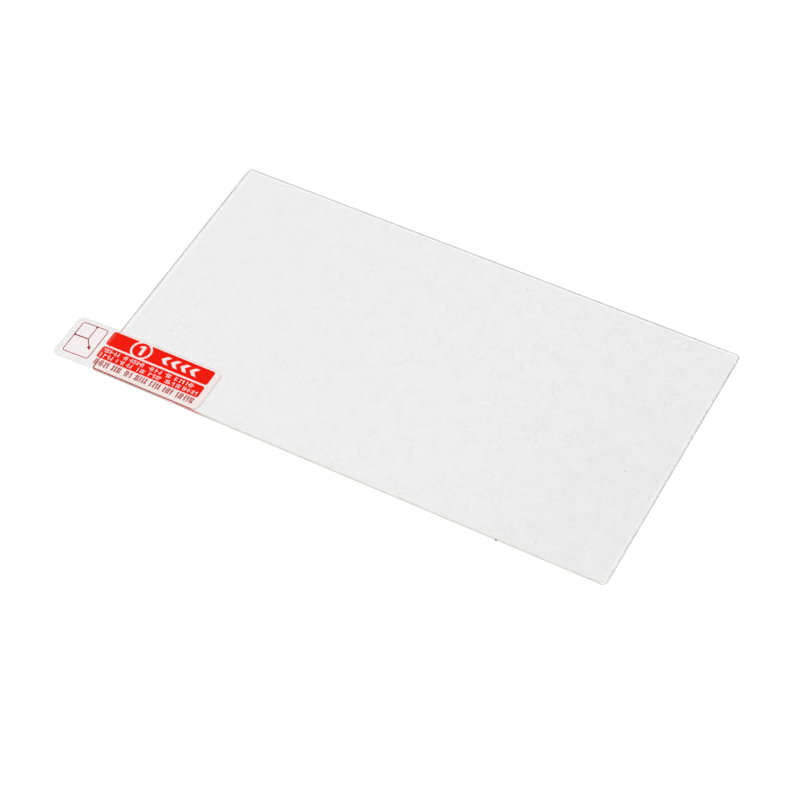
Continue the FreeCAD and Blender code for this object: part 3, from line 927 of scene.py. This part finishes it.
red = ink_material()
dark_red = line_ink_material()
liner_cut = cut_film_material("cut_liner_edge", LINER_CUT_TINT, LINER_CUT_CLEAR)
tab_cut = cut_film_material("cut_tab_edge", TAB_CUT_TINT, TAB_CUT_CLEAR)
dress(glass, glass_material(), ground_edge_material())
dress(liner, liner_material(), liner_cut)
dress(tab, tab_material(), tab_cut, tab_underside_material())
dress(fields, red, red, red)
dress(lines, dark_red, dark_red, dark_red)
dress(dust, dust_material("dark_dust", DARK_DUST), dust_material("pale_lint", PALE_LINT))


# Floor: white, with a share that the lamps light, so that it takes the object's shadow.
# Its half width is in metres.
FLOOR_HALF = 10.0
FLOOR_DROP = 0.03
FLOOR_GLOW = 0.985
FLOOR_LIT = 0.05
FLOOR_PALE = 0.8


def seen_directly(tree, *kinds):
    """1 for rays of these kinds, else 0."""
    path = tree.nodes.new("ShaderNodeLightPath")
    found = path.outputs[kinds[0]]
    for kind in kinds[1:]:
        either = tree.nodes.new("ShaderNodeMath")
        either.operation = "MAXIMUM"
        tree.links.new(found, either.inputs[0])
        tree.links.new(path.outputs[kind], either.inputs[1])
        found = either.outputs[0]
    return found


def make_floor():
    bm = bmesh.new()
    corners = box(-FLOOR_HALF, -FLOOR_HALF, FLOOR_HALF, FLOOR_HALF)
    bm.faces.new([bm.verts.new((x, y, -FLOOR_DROP * MM)) for x, y in corners])
    mesh = bpy.data.meshes.new("floor")
    bm.to_mesh(mesh)
    bm.free()
    floor = bpy.data.objects.new("floor", mesh)
    bpy.context.scene.collection.objects.link(floor)
    material = bpy.data.materials.new("pale_floor")
    material.use_nodes = True
    tree = material.node_tree
    tree.nodes.clear()

    def diffuse(level):
        node = tree.nodes.new("ShaderNodeBsdfDiffuse")
        node.inputs["Color"].default_value = (*grey(level), 1)
        return node.outputs["BSDF"]

    glow = tree.nodes.new("ShaderNodeEmission")
    glow.inputs["Color"].default_value = (*WHITE, 1)
    glow.inputs["Strength"].default_value = FLOOR_GLOW
    shown = tree.nodes.new("ShaderNodeAddShader")
    tree.links.new(glow.outputs["Emission"], shown.inputs[0])
    tree.links.new(diffuse(FLOOR_LIT), shown.inputs[1])
    direct = seen_directly(tree, "Is Camera Ray", "Is Glossy Ray", "Is Transmission Ray")
    mix = tree.nodes.new("ShaderNodeMixShader")
    tree.links.new(direct, mix.inputs[0])
    tree.links.new(diffuse(FLOOR_PALE), mix.inputs[1])
    tree.links.new(shown.outputs[0], mix.inputs[2])
    output = tree.nodes.new("ShaderNodeOutputMaterial")
    tree.links.new(mix.outputs[0], output.inputs["Surface"])
    mesh.materials.append(material)


make_floor()

# World: a white sweep low down, a dim studio above it, a little brighter on the left
SWEEP_LOW = 0.17
SWEEP_HIGH = 0.42
STUDIO_LEVEL = 0.12
STUDIO_SLOPE = 0.25


def make_world():
    world = bpy.data.worlds.new("studio")
    bpy.context.scene.world = world
    world.use_nodes = True
    tree = world.node_tree
    background = tree.nodes["Background"]
    direction = tree.nodes.new("ShaderNodeSeparateXYZ")
    place = tree.nodes.new("ShaderNodeTexCoord")
    tree.links.new(place.outputs["Generated"], direction.inputs["Vector"])
    studio = tree.nodes.new("ShaderNodeMath")
    studio.operation = "MULTIPLY_ADD"
    studio.inputs[1].default_value = -STUDIO_SLOPE
    studio.inputs[2].default_value = STUDIO_LEVEL
    studio.use_clamp = True
    tree.links.new(direction.outputs["X"], studio.inputs[0])
    sweep = tree.nodes.new("ShaderNodeMapRange")
    sweep.interpolation_type = "SMOOTHSTEP"
    sweep.inputs["From Min"].default_value = SWEEP_LOW
    sweep.inputs["From Max"].default_value = SWEEP_HIGH
    sweep.inputs["To Min"].default_value = 1.0
    tree.links.new(direction.outputs["Z"], sweep.inputs["Value"])
    tree.links.new(studio.outputs[0], sweep.inputs["To Max"])
    white = tree.nodes.new("ShaderNodeMath")
    white.operation = "MAXIMUM"
    tree.links.new(sweep.outputs["Result"], white.inputs[0])
    tree.links.new(seen_directly(tree, "Is Camera Ray"), white.inputs[1])
    background.inputs["Color"].default_value = (*WHITE, 1)
    tree.links.new(white.outputs[0], background.inputs["Strength"])


make_world()

# Lamps: soft boxes, away from where the camera would see them mirrored in the sheet, with
# place and size in metres and power in watts
LAMPS = (
    ("key_box", (0.1, -0.6, 0.55), 0.5, 5.8),
    ("fill_box", (-0.5, -0.1, 0.7), 0.4, 2.4),
)


def make_lamps():
    for name, place, size, power in LAMPS:
        lamp = bpy.data.lights.new(name, "AREA")
        lamp.size = size
        lamp.energy = power
        thing = bpy.data.objects.new(name, lamp)
        thing.location = place
        thing.rotation_mode = "QUATERNION"
        thing.rotation_quaternion = Vector(place).to_track_quat("Z", "Y")
        bpy.context.scene.collection.objects.link(thing)


make_lamps()

# Camera: where the sheet's four corners in the picture put it
CAMERA_AZIMUTH = math.radians(30.35)
CAMERA_ELEVATION = math.radians(51.21)
CAMERA_ROLL = math.radians(-2.34)
CAMERA_DISTANCE = 443.6
CAMERA_RIGHT = -3.03
CAMERA_UP = -6.59
FOCAL_PIXELS = 2432
FRAME_PIXELS = 800
SENSOR = 36.0
NEAREST = 10.0


def make_camera():
    flat = math.cos(CAMERA_ELEVATION)
    back_x = math.sin(CAMERA_AZIMUTH) * flat
    back_y = -math.cos(CAMERA_AZIMUTH) * flat
    back = Vector((back_x, back_y, math.sin(CAMERA_ELEVATION)))
    right = Vector((math.cos(CAMERA_AZIMUTH), math.sin(CAMERA_AZIMUTH), 0))
    up = back.cross(right)
    place = (back * CAMERA_DISTANCE + right * CAMERA_RIGHT + up * CAMERA_UP) * MM
    cos, sin = math.cos(CAMERA_ROLL), math.sin(CAMERA_ROLL)
    axes = Matrix((right * cos + up * sin, up * cos - right * sin, back)).transposed()
    data = bpy.data.cameras.new("camera")
    data.sensor_width = SENSOR
    data.lens = SENSOR * FOCAL_PIXELS / FRAME_PIXELS
    data.clip_start = NEAREST * MM
    camera = bpy.data.objects.new("camera", data)
    camera.matrix_world = Matrix.Translation(place) @ axes.to_4x4()
    bpy.context.scene.collection.objects.link(camera)
    bpy.context.scene.camera = camera


make_camera()
bpy.context.scene.view_settings.view_transform = "Standard"
